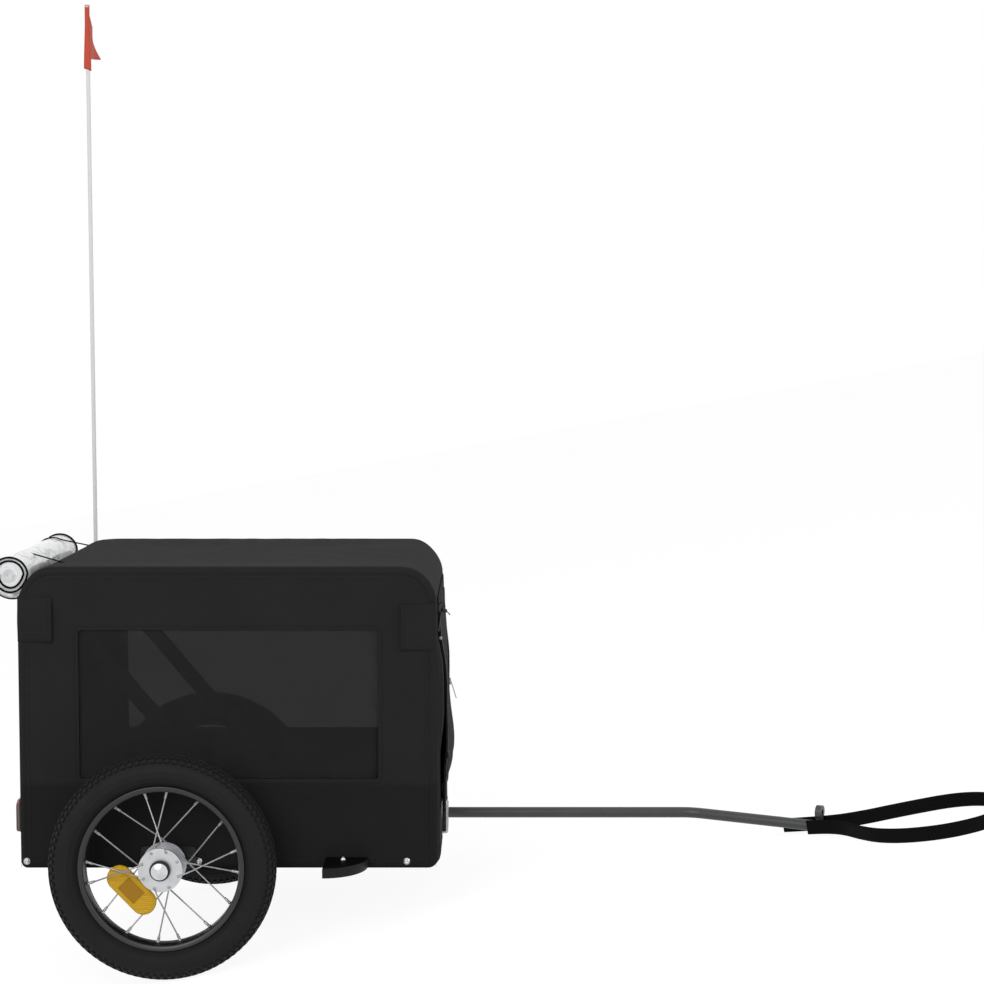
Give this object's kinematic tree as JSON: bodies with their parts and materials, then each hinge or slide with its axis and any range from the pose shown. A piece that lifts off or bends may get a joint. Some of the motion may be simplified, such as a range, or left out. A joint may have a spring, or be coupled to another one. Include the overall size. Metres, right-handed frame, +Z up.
{
  "type": "pet bike trailer",
  "caption": "Two-wheeled pet bike trailer: box-shaped black fabric cabin on a tube frame, spoked wheels, cranked drawbar, rolled clear cover and safety flag.",
  "frame": {"origin": "centre of the object's footprint on the floor, parked nose-down on both wheels and the drawbar's tip", "axes": "+X forward towards the drawbar, +Y to the trailer's left, along the wheels' axis, +Z up"},
  "size_m": [1.3197, 0.5606, 1.3476],
  "materials": {
    "tyre_rubber": "moulded rubber, small-block tread",
    "rim_black": "semi-gloss black",
    "hub_alloy": "satin",
    "spoke_steel": "bright zinc",
    "amber_lens": "prismatic amber",
    "zinc_steel": "bright zinc plate",
    "frame_steel": "black powder coat",
    "black_cloth": "coated Oxford weave",
    "black_mesh": "open knitted mesh",
    "floor_cloth": "padded Oxford weave",
    "clear_vinyl": "clear vinyl, rolled",
    "drawbar_steel": "grey hammered coat",
    "black_plastic": "moulded",
    "red_lens": "prismatic red",
    "flag_cloth": "signal red vinyl cloth",
    "white_fibreglass": "smooth white",
    "black_webbing": "woven webbing"
  },
  "bodies": {
    "chassis": {"axle_left": "zinc_steel", "axle_bracket_left": "zinc_steel", "axle_right": "zinc_steel", "axle_bracket_right": "zinc_steel", "base_rail_left": "frame_steel", "side_hoop_left": "frame_steel", "strut_left": "frame_steel", "base_rail_right": "frame_steel", "side_hoop_right": "frame_steel", "strut_right": "frame_steel", "base_crossbar_front": "frame_steel", "base_crossbar_middle": "frame_steel", "base_crossbar_rear": "frame_steel", "top_crossbar_front": "frame_steel", "top_crossbar_rear": "frame_steel", "side_panel_left": "black_cloth", "side_panel_right": "black_cloth", "window_mesh_left": "black_mesh", "window_mesh_right": "black_mesh", "roof_cover": "black_cloth", "front_wall": "black_cloth", "rear_wall": "black_cloth", "floor_board": "floor_cloth", "rolled_cover": "clear_vinyl", "hitch_bracket": "zinc_steel", "hitch_pin": "zinc_steel", "drawbar": "drawbar_steel", "hitch_eye": "zinc_steel", "wheel_guard_left": "black_plastic", "rear_reflector_left": "red_lens", "wheel_guard_right": "black_plastic", "rear_reflector_right": "red_lens", "flag_pocket": "black_cloth", "flag_pole": "white_fibreglass", "flag": "flag_cloth", "safety_strap": "black_webbing"},
    "wheel_left": {"tyre_left": "tyre_rubber", "rim_left": "rim_black", "hub_left": "hub_alloy", "spokes_left": "spoke_steel", "wheel_reflector_left": "amber_lens"},
    "wheel_right": {"tyre_right": "tyre_rubber", "rim_right": "rim_black", "hub_right": "hub_alloy", "spokes_right": "spoke_steel", "wheel_reflector_right": "amber_lens"},
    "front_door": {"front_flap": "black_cloth"},
    "rear_hatch": {"rear_door": "black_cloth", "rear_mesh": "black_mesh"}
  },
  "joints": [
    {"name": "wheel_left_spin", "type": "hinge", "parent": "chassis", "child": "wheel_left", "pos_m": [-0.34491, 0.25, 0.15], "axis": [0, 1, 0], "continuous": true},
    {"name": "wheel_right_spin", "type": "hinge", "parent": "chassis", "child": "wheel_right", "pos_m": [-0.34491, -0.25, 0.15], "axis": [0, 1, 0], "continuous": true},
    {"name": "front_flap_lift", "type": "hinge", "parent": "chassis", "child": "front_door", "pos_m": [0.07077, 0, 0.42363], "axis": [0, -1, 0], "range_deg": [0, 120]},
    {"name": "rear_door_drop", "type": "hinge", "parent": "chassis", "child": "rear_hatch", "pos_m": [-0.53411, 0, 0.23365], "axis": [0, -1, 0], "range_deg": [0, 110]}
  ]
}
